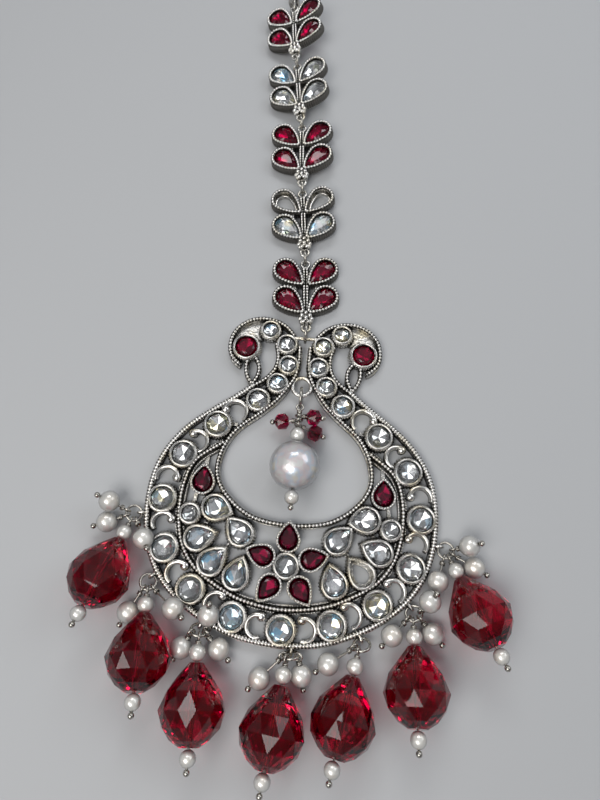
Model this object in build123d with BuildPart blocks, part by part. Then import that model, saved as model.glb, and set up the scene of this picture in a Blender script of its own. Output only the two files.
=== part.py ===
from build123d import *

import os
from math import asin, atan2, cos, radians, sin, sqrt

# A maang tikka: a pierced crescent setting with foiled stones, a pearl that hangs in its
# opening, seven faceted drops along its rim, five leaf links, and a hook for the hair.
# Millimetres. Origin: centre of the flower, on the flat back. +Y runs from the flower up
# the axis of the crescent to the chain, +Z is the front. The jewel lies on its back.

# ---------------------------------------------------------------- driving dimensions
stone_gap = 0.1            # room round a stone in its setting
bore_gap = 0.15            # room round a pin in its bead
bead_gap = 0.12            # room between neighbours on a pin
web_height = 0.9           # thin cast web that joins rails and bezels
border_web_width = 1.8
rail_height = 1.75
rim_rail_width = 1.0
inner_rail_width = 0.85
border_rail_width = 0.7
head_rail_width = 0.75
hook_width = 0.7
hook_height = 1.6
hook_ball = 0.75
bezel_height = 2.3
bezel_wall = 0.42
bezel_floor = 0.75
ledge_width = 0.6          # a stone sits on this ledge, and the back is open inside it
strut_width = 0.7
stone_rise = 0.35          # how far a stone's table stands above its bezel

leaf_length = 8.1
leaf_width = 5.3
leaf_lean = 46.0           # each leaf leans this far from the link's axis
leaf_tip_aside = 0.4       # tips stand this far from the link's axis
leaf_pair_y = (-6.3, 0.3)  # where the tips of the lower and upper pair lie
leaf_bezel_height = 2.0
link_top_eye = 5.6         # eyes of a link, from its centre
link_bottom_eye = -9.4
link_eye_height = 1.2
link_eye_radius = 0.85
link_wire = 0.28           # radius of the wire in eyes and rings
link_ring_radius = 1.5
granule = 0.55

belly_along = 7.4          # a drop bead is widest here
belly_radius = 5.7
bead_rings = [(0.0, 1.2), (2.2, 3.0), (4.5, 4.7), (belly_along, belly_radius), (9.9, 4.9),
              (11.7, 3.3), (12.7, 1.7)]                                  # (along, radius)
bead_sides = 12
small_pearl = 1.5          # radii of the pearls
tail_pearl = 1.4
side_pearl = 2.0
large_pearl = 4.85
pin_wire = 0.2             # radius of head pin wire
pin_ball = 0.55
pin_eye = 0.65
collar_radius = 0.4
short_collar = 0.35         # wrapped wire under an eye
long_collar = 0.7
ring_radius = 1.45         # jump ring of a drop, to the centre of its wire
ring_wire = 0.25
eyelet_radius = 0.75       # loops soldered along the rim
eyelet_wire = 0.28
eyelet_height = 1.1

hanging_ring_y = 35.3      # ring soldered in the apex of the opening
hanging_ring_radius = 1.9
hanging_ring_wire = 0.4
hanging_ring_height = 1.3
cross_bar_y = 45.7         # bar between the necks that carries the leaf links
cross_bar_wire = 0.35
cross_bar_height = 1.95

cable_length = 5.4         # plain links between the leaves and the hook
cable_width = 3.4
cable_wire = 0.32
cable_height = 1.45
hair_wire = 0.6            # hair hook
hair_shank = 17.0
hair_shank_start = 0.9     # from the middle of the hook's eye
hair_inside = 5.0
hair_return = 11.0

# ---------------------------------------------------------------- plan of the crescent
# Centre lines of the rails on the right half, from the bottom point up: (x, y)
rim_line = [(0, -13.7), (6.2, -13.2), (12.4, -11.3), (18.3, -8.1), (23.2, -3.7), (26.4, 2.3),
            (27.6, 9.6), (26.7, 17.2), (23.4, 23.4), (18.4, 28.2), (13.4, 31.9), (9.9, 34.8)]
border_line = [(0, -7.7), (5.0, -7.2), (9.0, -6.2), (12.2, -4.7), (15.2, -3.0), (17.8, -0.8),
               (19.5, 1.6), (20.7, 4.6), (21.3, 8.0), (21.4, 11.5), (21.0, 14.6), (20.2, 17.2),
               (18.8, 19.2), (16.9, 20.7), (14.3, 22.6)]
inner_line = [(0.6, 7.4), (5.0, 7.8), (8.4, 8.9), (11.4, 10.9), (13.8, 13.5), (15.0, 16.2),
              (15.0, 19.2), (14.0, 22.4), (11.9, 25.6), (9.0, 28.1), (6.5, 30.3), (4.4, 32.6),
              (2.9, 34.9), (1.7, 37.0), (1.15, 39.3), (1.1, 43.8)]
neck_line = [(10.1, 34.6), (7.2, 36.7), (5.7, 39.0), (5.4, 41.6), (6.0, 44.2)]
head_line = [(2.4, 46.2), (4.4, 48.3), (7.2, 49.5), (10.2, 49.6), (12.9, 48.5), (14.9, 46.3),
             (15.6, 43.7), (15.1, 41.0), (13.0, 38.9)]
loop_lines = [[(10.2, 35.0), (9.2, 37.2), (9.2, 39.2), (10.2, 41.0)],
              [(10.2, 35.0), (11.4, 36.8), (11.8, 38.6), (11.6, 40.6)]]
head_plate = [(9.0, 45.2), (9.2, 48.4), (10.2, 49.6), (12.9, 48.5), (14.9, 46.3), (15.2, 43.6)]

# Round bezels on the right half: (group, x, y, outer radius); those at x = 0 stand alone
round_settings = [
    ("rim_round", 0, -11.2, 2.65), ("rim_round", 9.1, -9.7, 2.65),
    ("rim_round", 17.25, -5.55, 2.65), ("rim_round", 23.15, 1.4, 2.65),
    ("rim_round", 24.85, 10.5, 2.65), ("rim_round", 22.1, 19.45, 2.65),
    ("rim_round", 16.1, 26.0, 2.65),
    ("neck_round", 8.6, 31.7, 2.35), ("neck_round", 5.0, 35.5, 2.1),
    ("neck_round", 3.1, 39.6, 2.05), ("neck_round", 3.8, 44.2, 2.1),
    ("neck_round", 7.5, 47.1, 2.05),
    ("field_round", 0, 0, 2.4), ("field_round", 19.2, 8.1, 2.0),
    ("head_ruby", 12.2, 42.95, 2.75),
]

# Pear bezels on the right half: (group, round end x, y, direction of the tip, length, width)
pear_settings = [
    ("field_pear", 14.6, 9.6, 195, 6.2, 5.1), ("field_pear", 9.1, 5.1, 45, 6.3, 4.9),
    ("field_pear", 17.3, 3.65, 159, 6.3, 4.9), ("field_pear", 14.2, -0.6, 132, 6.4, 4.9),
    ("field_pear", 9.2, -2.7, 108, 6.3, 4.9), ("horn_ruby", 17.5, 14.2, 91, 6.1, 4.8),
]
empty_setting = (14.2, -0.6)   # this one has lost its stone, on the +X half only
petal_count = 5
petal_reach = 4.6              # from the flower's centre to a petal's round end
petal_length = 6.0
petal_width = 4.6

# Scroll hooks in the gaps of the rim: (x, y, radius, start angle, sweep)
scroll_hooks = [
    (4.3, -10.9, 2.0, 110, -215), (12.2, -7.9, 2.15, 120, -190),
    (20.1, -3.0, 2.1, 130, -185), (24.2, 5.9, 2.0, 150, -190),
    (24.7, 14.6, 2.15, 175, -190), (19.8, 22.2, 2.1, 60, 195),
    (12.9, 28.9, 2.3, 10, 215),
]

# Short bars that join neighbours: (x1, y1, x2, y2)
struts = [
    (15.5, 7.4, 16.5, 5.8), (18.9, 9.9, 18.7, 12.0), (20.9, 8.1, 21.5, 8.1),
    (19.5, 3.0, 20.4, 2.7), (10.8, 6.6, 12.2, 8.3), (15.7, -2.2, 16.6, -2.4),
    (15.4, 1.3, 16.0, 2.1), (9.9, -4.7, 10.6, -5.8), (10.9, 3.2, 12.0, 2.0),
    (7.2, 2.4, 7.9, 3.4), (10.9, -1.3, 12.2, -1.9), (14.6, 15.1, 15.6, 15.2),
    (17.4, 17.6, 17.3, 20.3), (15.8, 11.6, 16.3, 12.6), (12.3, 26.6, 14.2, 26.3),
    (20.2, 21.4, 19.2, 20.0), (9.7, 33.1, 10.8, 34.0), (6.4, 33.8, 6.9, 33.3),
    (5.4, 45.4, 6.1, 46.1), (9.3, 46.2, 10.6, 44.9), (1.1, 43.5, 2.2, 43.7),
]

# Leaf links from the crescent upward: heading in plan, roll about the axis (degrees), stone
leaf_links = [
    (95.0, 0.0, "ruby"), (96.5, 4.0, "clear"), (94.5, 8.0, "ruby"), (97.5, 13.0, "clear"),
    (96.0, 19.0, "ruby"),
]
empty_leaves = {2: (1,)}       # link 2 has lost both stones of its upper pair
first_eye = (-0.25, 48.6)

# Drops along the rim, by side of the crescent from -X to +X: centre of the eyelet (x, y),
# heading of the eyelet, of the jump ring and of the drop, lean of the ring (degrees), and
# the centres of the side pearls (x, y, z)
drops = [
    ((-28.5, 7.5), 180, 190, 255, 15, [(-34.2, 8.9, 4.0), (-34.6, 5.2, 2.1), (-26.7, 2.6, 4.0)]),
    ((-24.6, -3.7), 220, 245, 276, 20, [(-27.9, -10.4, 2.1), (-19.5, -9.0, 4.0)]),
    ((-14.5, -11.4), 244, 262, 274, 50, [(-17.4, -15.5, 2.1), (-10.7, -15.2, 2.1),
                                         (-13.0, -9.6, 4.0)]),
    ((2.2, -14.6), 270, 275, 263, 70, [(-3.0, -19.3, 2.5), (4.3, -18.3, 2.1)]),
    ((14.5, -11.4), 296, 282, 258, 48, [(8.9, -16.0, 2.2)]),
    ((23.25, -5.25), 315, 300, 271, 30, [(20.0, -10.4, 2.1), (27.3, -9.5, 2.1),
                                         (26.2, -4.0, 4.6)]),
    ((28.35, 5.9), 0, 335, 295, 10, [(33.4, 6.3, 4.0), (28.1, -0.4, 2.1), (34.8, 2.6, 2.1)]),
]

# Centre drop: jump ring, then red beads on pins of their own: how far down the stem each
# pin's eye sits, and (x, y, z) of the bead
centre_ring_place = (0, 32.7, 2.3)
centre_ring_radius = 2.0
red_bead_places = [(2.95, -3.3, 27.4, 2.6), (2.0, 2.9, 28.5, 3.4), (4.05, 3.4, 25.7, 2.0)]
red_bead_rings = [(-1.35, 0.8), (-0.75, 1.6), (0.75, 1.6), (1.35, 0.8)]  # (along, radius)


# ---------------------------------------------------------------- outlines and cut stones
def mirrored(points):
    return [(-x, y) for x, y in points]


def pear_arcs(length, width, inset):
    """Centre and radius of the long side arc of a pear whose round end sits on the origin
    and whose tip points along +X, and the radius of that round end. The side arc touches
    the round end from inside and runs to the tip."""
    round_radius = width / 2
    tip = length - round_radius
    side_radius = 1.7 * tip
    centre_x = (tip**2 - 2 * side_radius * round_radius + round_radius**2) / (2 * tip)
    centre_y = -sqrt((side_radius - round_radius) ** 2 - centre_x**2)
    return (centre_x, centre_y), side_radius - inset, round_radius - inset


def pear_points(length, width, inset=0.0, side_steps=3, round_steps=6):
    """Points round a pear, from its tip over the +Y side, the round end and back."""
    (cx, cy), side_radius, round_radius = pear_arcs(length, width, inset)
    start = asin(-cy / side_radius)
    finish = atan2(-cy, -cx)
    upper = [(cx + side_radius * cos(start + (finish - start) * i / side_steps),
              cy + side_radius * sin(start + (finish - start) * i / side_steps))
             for i in range(side_steps + 1)]
    turn = 2 * (radians(180) - finish) / round_steps
    end = [(round_radius * cos(finish + turn * i), round_radius * sin(finish + turn * i))
           for i in range(1, round_steps)]
    return upper + end + [(x, -y) for x, y in reversed(upper[1:])]


def pear_outline(length, width, inset=0.0):
    """Flat pear face: two long arcs from the tip and one round end."""
    (cx, cy), side_radius, round_radius = pear_arcs(length, width, inset)
    start = asin(-cy / side_radius)
    finish = atan2(-cy, -cx)
    middle = (start + finish) / 2
    tip = (cx + side_radius * cos(start), 0)
    waist = (cx + side_radius * cos(middle), cy + side_radius * sin(middle))
    shoulder = (round_radius * cos(finish), round_radius * sin(finish))
    with BuildSketch() as outline:
        with BuildLine():
            ThreePointArc(tip, waist, shoulder)
            ThreePointArc(shoulder, (-round_radius, 0), (shoulder[0], -shoulder[1]))
            ThreePointArc((shoulder[0], -shoulder[1]), (waist[0], -waist[1]), tip)
        make_face()
    return outline.sketch


def round_points(radius, count, turn=0.0):
    return [(radius * cos(radians(turn + 360 * i / count)),
             radius * sin(radians(turn + 360 * i / count))) for i in range(count)]


def cut_stone(girdle, table, floor, top, pivot=0.0):
    """Convex cut stone on the plane z = floor: flat underside, girdle, crown and table."""
    low = floor + stone_gap
    depth = top - floor
    points = [(pivot + 0.62 * (x - pivot), 0.62 * y, low) for x, y in girdle]
    points += [(x, y, low + 0.42 * depth) for x, y in girdle]
    points += [(x, y, low + 0.5 * depth) for x, y in girdle]
    points += [(x, y, top) for x, y in table]
    return points


def round_stone(radius, floor, top):
    return cut_stone(round_points(radius, 16), round_points(0.56 * radius, 8, 11.25), floor, top)


def pear_stone(length, width, inset, floor, top):
    girdle = pear_points(length, width, inset)
    pivot = 0.18 * length
    table = [(pivot + 0.56 * (x - pivot), 0.56 * y) for x, y in girdle[::2]]
    return cut_stone(girdle, table, floor, top, pivot)


def side_places(x):
    return (1, -1) if x else (1,)


# Every setting of the crescent, both halves, with its true place
round_places = [(group, side * x, y, radius) for group, x, y, radius in round_settings
                for side in side_places(x)]
pear_places = [(group, side * x, y, turn if side > 0 else 180 - turn, length, width)
               for group, x, y, turn, length, width in pear_settings for side in (1, -1)]
pear_places += [("petal", petal_reach * cos(radians(90 + 360 / petal_count * i)),
                 petal_reach * sin(radians(90 + 360 / petal_count * i)),
                 90 + 360 / petal_count * i, petal_length, petal_width)
                for i in range(petal_count)]

# ---------------------------------------------------------------- crescent setting
rails = [  # (points, width of the rail, width of its web)
    (mirrored(rim_line[:0:-1]) + rim_line, rim_rail_width, rim_rail_width),
    (mirrored(border_line[:0:-1]) + border_line, border_rail_width, border_web_width),
]
for line, width in [(inner_line, inner_rail_width), (neck_line, head_rail_width),
                    (head_line, head_rail_width), (loop_lines[0], border_rail_width),
                    (loop_lines[1], border_rail_width)]:
    rails += [(line, width, width + 0.2), (mirrored(line), width, width + 0.2)]

pear_faces = {(length, width): (pear_outline(length, width),
                                pear_outline(length, width, bezel_wall),
                                pear_outline(length, width, bezel_wall + ledge_width))
              for _, _, _, _, length, width in pear_places}

with BuildPart() as crescent_setting:
    with BuildSketch() as web_plan:
        for points, width, web in rails:
            with BuildLine():
                Spline(*points)
            trace(line_width=web)
        for x1, y1, x2, y2 in struts:
            for side in (1, -1):
                with BuildLine():
                    Line((side * x1, y1), (side * x2, y2))
                trace(line_width=strut_width)
        for plate in (head_plate, mirrored(head_plate)):
            with BuildLine():
                Spline(*plate)
                Line(plate[-1], plate[0])
            make_face()
    extrude(amount=web_height)
    with BuildSketch() as rail_plan:
        for points, width, web in rails:
            with BuildLine():
                Spline(*points)
            trace(line_width=width)
    extrude(amount=rail_height)
    with BuildSketch() as hook_plan:
        for x, y, radius, start, sweep_angle in scroll_hooks:
            for side in (1, -1):
                first = start if side > 0 else 180 - start
                with BuildLine():
                    CenterArc((side * x, y), radius, first, side * sweep_angle)
                trace(line_width=hook_width)
                with Locations((side * x + (radius - 0.2) * cos(radians(first)),
                                y + (radius - 0.2) * sin(radians(first)))):
                    Circle(hook_ball)
    extrude(amount=hook_height)
    with BuildSketch() as bezel_plan:
        for _, x, y, radius in round_places:
            with Locations((x, y)):
                Circle(radius)
        for _, x, y, turn, length, width in pear_places:
            with Locations(Location((x, y, 0), (0, 0, turn))):
                add(pear_faces[(length, width)][0])
    extrude(amount=bezel_height)
    with BuildSketch(Plane.XY.offset(bezel_floor)) as pocket_plan:
        for _, x, y, radius in round_places:
            with Locations((x, y)):
                Circle(radius - bezel_wall)
        for _, x, y, turn, length, width in pear_places:
            with Locations(Location((x, y, 0), (0, 0, turn))):
                add(pear_faces[(length, width)][1])
    extrude(amount=bezel_height, mode=Mode.SUBTRACT)
    with BuildSketch() as back_plan:
        for _, x, y, radius in round_places:
            with Locations((x, y)):
                Circle(radius - bezel_wall - ledge_width)
        for _, x, y, turn, length, width in pear_places:
            with Locations(Location((x, y, 0), (0, 0, turn))):
                add(pear_faces[(length, width)][2])
    extrude(amount=bezel_height, mode=Mode.SUBTRACT)
    with Locations((0, hanging_ring_y, hanging_ring_height)):
        Torus(hanging_ring_radius, hanging_ring_wire)
    with Locations(Location((0, cross_bar_y, cross_bar_height), (0, 90, 0))):
        Cylinder(cross_bar_wire, 4.8)
    for (x, y), heading, *_ in drops:
        outward = (cos(radians(heading)), sin(radians(heading)), 0)
        upright = Plane(origin=(x, y, eyelet_height), x_dir=outward,
                        z_dir=(-outward[1], outward[0], 0))
        with Locations(upright.location):
            Torus(eyelet_radius, eyelet_wire)
crescent_setting.part.label = "crescent_setting"

# ---------------------------------------------------------------- stones of the crescent
stone_nodes = {}
for group in ("rim_round", "neck_round", "field_round", "head_ruby"):
    with BuildPart() as stones:
        for kind, x, y, radius in round_places:
            if kind == group:
                with Locations((x, y, 0)):
                    ConvexPolyhedron(round_stone(radius - bezel_wall - stone_gap, bezel_floor,
                                                 bezel_height + stone_rise))
    stone_nodes[group + "_stones"] = stones.part
for group in ("field_pear", "horn_ruby", "petal"):
    with BuildPart() as stones:
        for kind, x, y, turn, length, width in pear_places:
            if kind == group and (x, y) != empty_setting:
                with Locations(Location((x, y, 0), (0, 0, turn))):
                    ConvexPolyhedron(pear_stone(length, width, bezel_wall + stone_gap,
                                                bezel_floor, bezel_height + stone_rise))
    stone_nodes[group + "_stones"] = stones.part

# ---------------------------------------------------------------- leaf links
leaf_places = []               # (pair, x, y, direction of the tip) of a link's four leaves
for pair, tip_y in enumerate(leaf_pair_y):
    for side in (1, -1):
        toward = 90 - side * leaf_lean            # from the tip to the round end
        back = leaf_length - leaf_width / 2
        leaf_places.append((pair, side * leaf_tip_aside + back * cos(radians(toward)),
                            tip_y + back * sin(radians(toward)), toward + 180))

leaf_face = pear_outline(leaf_length, leaf_width)
leaf_pocket = pear_outline(leaf_length, leaf_width, bezel_wall)
leaf_back = pear_outline(leaf_length, leaf_width, bezel_wall + ledge_width)
granule_places = [(-0.8, -6.9), (0.8, -6.9), (0, -7.6), (-0.95, -8.2), (0.95, -8.2), (0, -6.3)]


def link_plane(origin, heading, roll):
    """Plane of a link: its y runs up the chain, its x is across, raised by the roll."""
    up = Vector(cos(radians(heading)), sin(radians(heading)), 0)
    flat = Vector(up.Y, -up.X, 0)
    across = flat * cos(radians(roll)) + Vector(0, 0, sin(radians(roll)))
    return Plane(origin=origin, x_dir=across, z_dir=across.cross(up))


def chain_ring(lower, upper, radius, wire, lift):
    """Upright jump ring through two eyes, its centre lifted above the line between them."""
    along = (upper - lower).normalized()
    middle = (lower + upper) * 0.5 + Vector(0, 0, lift)
    side = Vector(along.Y, -along.X, 0).normalized()
    with Locations(Plane(origin=middle, x_dir=along, z_dir=side).location):
        Torus(radius, wire)


half_span = 7.05               # how far a link reaches to each side of its axis
eye_step = 2.75                # between the eyes that one ring joins
link_nodes = {}
bottom_eye = Vector(*first_eye, link_eye_height)
ring_ends = []
for number, (heading, roll, stone) in enumerate(leaf_links, start=1):
    lift = half_span * sin(radians(roll))
    up = Vector(cos(radians(heading)), sin(radians(heading)), 0)
    if number > 1:
        bottom_eye = Vector(top_eye.X, top_eye.Y, 0) + up * eye_step
    origin = Vector(bottom_eye.X, bottom_eye.Y, lift) - up * link_bottom_eye
    plane = link_plane(origin, heading, roll)
    bottom_eye = plane.from_local_coords(Vector(0, link_bottom_eye, link_eye_height))
    if number > 1:
        ring_ends.append((top_eye, bottom_eye))
    top_eye = plane.from_local_coords(Vector(0, link_top_eye, link_eye_height))

    with BuildPart() as leaf_link:
        with BuildSketch() as leaf_plan:
            for _, x, y, turn in leaf_places:
                with Locations(Location((x, y, 0), (0, 0, turn))):
                    add(leaf_face)
        extrude(amount=leaf_bezel_height)
        with BuildSketch() as bar_plan:
            with Locations((0, (link_bottom_eye + link_top_eye) / 2)):
                Rectangle(1.2, link_top_eye - link_bottom_eye - 2 * link_eye_radius)
            with Locations((-2.5, -0.1), (2.5, -0.1)):
                Rectangle(0.8, 1.4)
            with Locations((0, -7.4)):
                Rectangle(2.3, 2.1)
        extrude(amount=leaf_bezel_height - 0.5)
        with BuildSketch(Plane.XY.offset(bezel_floor)) as leaf_pockets:
            for _, x, y, turn in leaf_places:
                with Locations(Location((x, y, 0), (0, 0, turn))):
                    add(leaf_pocket)
        extrude(amount=leaf_bezel_height, mode=Mode.SUBTRACT)
        with BuildSketch() as leaf_backs:
            for _, x, y, turn in leaf_places:
                with Locations(Location((x, y, 0), (0, 0, turn))):
                    add(leaf_back)
        extrude(amount=leaf_bezel_height, mode=Mode.SUBTRACT)
        with Locations((0, link_bottom_eye, link_eye_height), (0, link_top_eye, link_eye_height)):
            Torus(link_eye_radius, link_wire)
        with Locations([(x, y, leaf_bezel_height - 0.45) for x, y in granule_places]):
            Sphere(granule)
    link_nodes[f"leaf_link_{number}"] = leaf_link.part.moved(plane.location)

    with BuildPart() as stones:
        for pair, x, y, turn in leaf_places:
            if pair not in empty_leaves.get(number, ()):
                with Locations(Location((x, y, 0), (0, 0, turn))):
                    ConvexPolyhedron(pear_stone(leaf_length, leaf_width, bezel_wall + stone_gap,
                                                bezel_floor, leaf_bezel_height + stone_rise))
    link_nodes[f"leaf_{stone}_stones_{number}"] = stones.part.moved(plane.location)

# ---------------------------------------------------------------- rings, cable links, hook
last_heading = leaf_links[-1][0]
chain_up = Vector(cos(radians(last_heading)), sin(radians(last_heading)), 0)
top_ring_radius = 2.05         # reaches from the raised last link down to the plain links
chain_start = Vector(top_eye.X, top_eye.Y, 0) + chain_up * eye_step
chain_start = Vector(chain_start.X, chain_start.Y, link_eye_height + 0.6)

with BuildPart() as leaf_rings:
    bar_ring = Vector(-0.12, 46.96, 2.39)
    with Locations(Location(bar_ring, (0, 90, 0))):
        Torus(2.1, link_wire)
    for lower, upper in ring_ends:
        ring_lift = 0.6 - 0.5 * (upper.Z - lower.Z)
        chain_ring(lower, upper, link_ring_radius, link_wire, ring_lift)
    chain_ring(top_eye, chain_start + chain_up * 0.75, top_ring_radius, link_wire, -0.1)
leaf_rings.part.label = "leaf_rings"

cable_pitch = cable_length - 4 * cable_wire - 0.5
cable_count = 3
with BuildPart() as chain_links:
    for i in range(cable_count):
        centre = chain_start + chain_up * (cable_length / 2 - 2 * cable_wire + i * cable_pitch)
        centre = Vector(centre.X, centre.Y, cable_height)
        roll = 45 if i % 2 else -45
        with BuildSketch(link_plane(centre, last_heading, roll)) as cable_plan:
            SlotOverall(cable_length, cable_width, rotation=90)
            SlotOverall(cable_length - 4 * cable_wire, cable_width - 4 * cable_wire,
                        rotation=90, mode=Mode.SUBTRACT)
        extrude(amount=cable_wire, both=True)
chain_links.part.label = "chain_links"

hook_eye = chain_start + chain_up * (cable_count * cable_pitch + 0.65)
hook_eye_radius = 1.6
hook_eye_wire = 0.33
with BuildPart() as hair_hook:
    with Locations(Location((hook_eye.X, hook_eye.Y, hook_eye_radius + hook_eye_wire),
                            (0, 90, 0))):
        Torus(hook_eye_radius, hook_eye_wire)
    bend = hair_inside / 2 + hair_wire
    with BuildLine() as wire_path:
        shank = Line((hook_eye.X, hook_eye.Y + hair_shank_start, hair_wire),
                     (hook_eye.X, hook_eye.Y + hair_shank, hair_wire))
        turn_over = CenterArc((hook_eye.X + bend, hook_eye.Y + hair_shank, hair_wire), bend,
                              180, -180)
        Line(turn_over @ 1, turn_over @ 1 - Vector(0, hair_return, 0))
    with BuildSketch(Plane(origin=shank @ 0, z_dir=shank % 0)) as wire_section:
        Circle(hair_wire)
    sweep(path=wire_path.line)
    with Locations(wire_path.line @ 1):
        Sphere(hair_wire)
hair_hook.part.label = "hair_hook"


# ---------------------------------------------------------------- beads and pins
def eye_plane(centre, tangent, direction):
    """Plane of a pin's eye: it holds the pin's direction and faces along the ring's wire."""
    normal = (tangent - direction * tangent.dot(direction)).normalized()
    return Plane(origin=centre, x_dir=direction, z_dir=normal)


def head_pin(centre, tangent, direction, length, collar):
    """Pin from its eye, with a collar of wrapped wire under the eye and a ball at its end."""
    foot = pin_eye + 0.7 * pin_wire       # the collar covers the outer side of the eye's wire
    stem = foot + collar / 2
    with BuildPart() as pin:
        with Locations(eye_plane(centre, tangent, direction).location):
            Torus(pin_eye, pin_wire)
        with Locations(Plane(origin=centre + direction * foot, z_dir=direction).location):
            Cylinder(collar_radius, collar, align=(Align.CENTER, Align.CENTER, Align.MIN))
        with Locations(Plane(origin=centre + direction * stem, z_dir=direction).location):
            Cylinder(pin_wire, length - stem, align=(Align.CENTER, Align.CENTER, Align.MIN))
        with Locations(Plane(origin=centre + direction * length, z_dir=direction).location):
            Sphere(pin_ball)
    return pin.part.solid()


def drilled_pearl(radius, centre, direction):
    with Locations(Plane(origin=centre, z_dir=direction).location):
        Sphere(radius)
        Cylinder(pin_wire + bore_gap, 2 * radius + 0.1, mode=Mode.SUBTRACT)


def faceted_bead(rings, sides, centre, direction):
    """Drilled bead with rings of facets, every second ring turned by half a facet."""
    points = [(x, y, along) for i, (along, radius) in enumerate(rings)
              for x, y in round_points(radius, sides, 180 / sides * (i % 2))]
    middle = centre + direction * (rings[0][0] + rings[-1][0]) / 2
    with Locations(Plane(origin=centre, z_dir=direction).location):
        ConvexPolyhedron(points)
    with Locations(Plane(origin=middle, z_dir=direction).location):
        Cylinder(pin_wire + bore_gap, rings[-1][0] - rings[0][0] + 0.1, mode=Mode.SUBTRACT)


pearl_seat = pin_eye + 0.5     # bare wire and collar between an eye and its pearl
bead_nodes = {}
for number, ((x, y), _, ring_turn, heading, lean, pearls) in enumerate(drops, start=1):
    eyelet = Vector(x, y, eyelet_height)
    outward = Vector(cos(radians(ring_turn)) * cos(radians(lean)),
                     sin(radians(ring_turn)) * cos(radians(lean)), sin(radians(lean)))
    aside = Vector(-sin(radians(ring_turn)), cos(radians(ring_turn)), 0)
    ring_centre = eyelet + outward * ring_radius
    plan = Vector(cos(radians(heading)), sin(radians(heading)), 0)
    hang = atan2(plan.dot(aside), plan.dot(outward))
    main_eye = ring_centre + (outward * cos(hang) + aside * sin(hang)) * ring_radius
    main_tangent = aside * cos(hang) - outward * sin(hang)
    reach = pearl_seat + 2 * small_pearl + bead_gap + belly_along
    rise = asin((belly_radius + 0.05 - main_eye.Z) / reach)
    axis = plan * cos(rise) + Vector(0, 0, sin(rise))
    tip = main_eye + axis * (pearl_seat + 2 * small_pearl + bead_gap)
    tail = tip + axis * (bead_rings[-1][0] + bead_gap + tail_pearl)
    pin_length = (tail - main_eye).length + tail_pearl + pin_ball

    with BuildPart() as drop_bead:
        faceted_bead(bead_rings, bead_sides, tip, axis)
    bead_nodes[f"drop_bead_{number}"] = drop_bead.part

    with BuildPart() as drop_ring:
        with Locations(Plane(origin=ring_centre, x_dir=outward,
                             z_dir=outward.cross(aside)).location):
            Torus(ring_radius, ring_wire)
    bead_nodes[f"drop_ring_{number}"] = drop_ring.part

    hangers = []                                  # eye, tangent of the ring, way, pearl
    for place in pearls:
        pearl = Vector(*place)
        away = pearl - ring_centre
        angle = atan2(away.dot(aside), away.dot(outward))
        eye = ring_centre + (outward * cos(angle) + aside * sin(angle)) * ring_radius
        tangent = aside * cos(angle) - outward * sin(angle)
        hangers.append((eye, tangent, (pearl - eye).normalized(), pearl))

    pins = [head_pin(main_eye, main_tangent, axis, pin_length, short_collar)]
    for eye, tangent, way, pearl in hangers:
        reach = (pearl - eye).length + side_pearl + pin_ball
        pins.append(head_pin(eye, tangent, way, reach, short_collar))
    bead_nodes[f"drop_pins_{number}"] = Compound(pins)

    with BuildPart() as drop_pearls:
        drilled_pearl(small_pearl, main_eye + axis * (pearl_seat + small_pearl), axis)
        drilled_pearl(tail_pearl, tail, axis)
        for _, _, way, pearl in hangers:
            drilled_pearl(side_pearl, pearl, way)
    bead_nodes[f"drop_pearls_{number}"] = drop_pearls.part

# ---------------------------------------------------------------- centre drop
ring_middle = Vector(*centre_ring_place)
centre_eye = ring_middle + Vector(0, -centre_ring_radius, 0)
centre_seat = 4.6              # wrapped stem between the eye and the upper small pearl
centre_reach = centre_seat + 2 * small_pearl + bead_gap + large_pearl
centre_rise = asin((large_pearl + 0.05 - centre_eye.Z) / centre_reach)
centre_axis = Vector(0, -cos(centre_rise), sin(centre_rise))
centre_middle = centre_eye + centre_axis * centre_reach
centre_tail = centre_middle + centre_axis * (large_pearl + bead_gap + tail_pearl)

with BuildPart() as centre_ring:
    with Locations(Location(ring_middle, (0, 90, 0))):
        Torus(centre_ring_radius, link_wire)
centre_ring.part.label = "centre_ring"

with BuildPart() as centre_pearl:
    drilled_pearl(large_pearl, centre_middle, centre_axis)
centre_pearl.part.label = "centre_pearl"

with BuildPart() as centre_small_pearls:
    drilled_pearl(small_pearl, centre_eye + centre_axis * (centre_seat + small_pearl), centre_axis)
    drilled_pearl(tail_pearl, centre_tail, centre_axis)
centre_small_pearls.part.label = "centre_small_pearls"

red_beads = []                 # eye, way, bead
for down, x, y, z in red_bead_places:
    eye = centre_eye + centre_axis * down
    bead = Vector(x, y, z)
    red_beads.append((eye, (bead - eye).normalized(), bead))

pins = [head_pin(centre_eye, Vector(0, 0, 1), centre_axis,
                 (centre_tail - centre_eye).length + tail_pearl + pin_ball, long_collar)]
for eye, way, bead in red_beads:
    reach = (bead - eye).length + 1.35 + pin_ball
    pins.append(head_pin(eye, centre_axis, way, reach, short_collar))
centre_pins = Compound(pins)
centre_pins.label = "centre_pins"

with BuildPart() as centre_red_beads:
    for _, way, bead in red_beads:
        faceted_bead(red_bead_rings, 8, bead, way)
centre_red_beads.part.label = "centre_red_beads"

# ---------------------------------------------------------------- export
nodes = [crescent_setting.part, leaf_rings.part, chain_links.part, hair_hook.part,
         centre_ring.part, centre_pearl.part, centre_small_pearls.part, centre_pins,
         centre_red_beads.part]
for name, part in {**stone_nodes, **link_nodes, **bead_nodes}.items():
    part.label = name
    nodes.append(part)

os.makedirs("parts", exist_ok=True)
for part in nodes:
    export_step(part, f"parts/{part.label}.step")
    print(part.label, len(part.solids()), round(part.volume, 2))
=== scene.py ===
import math

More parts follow.
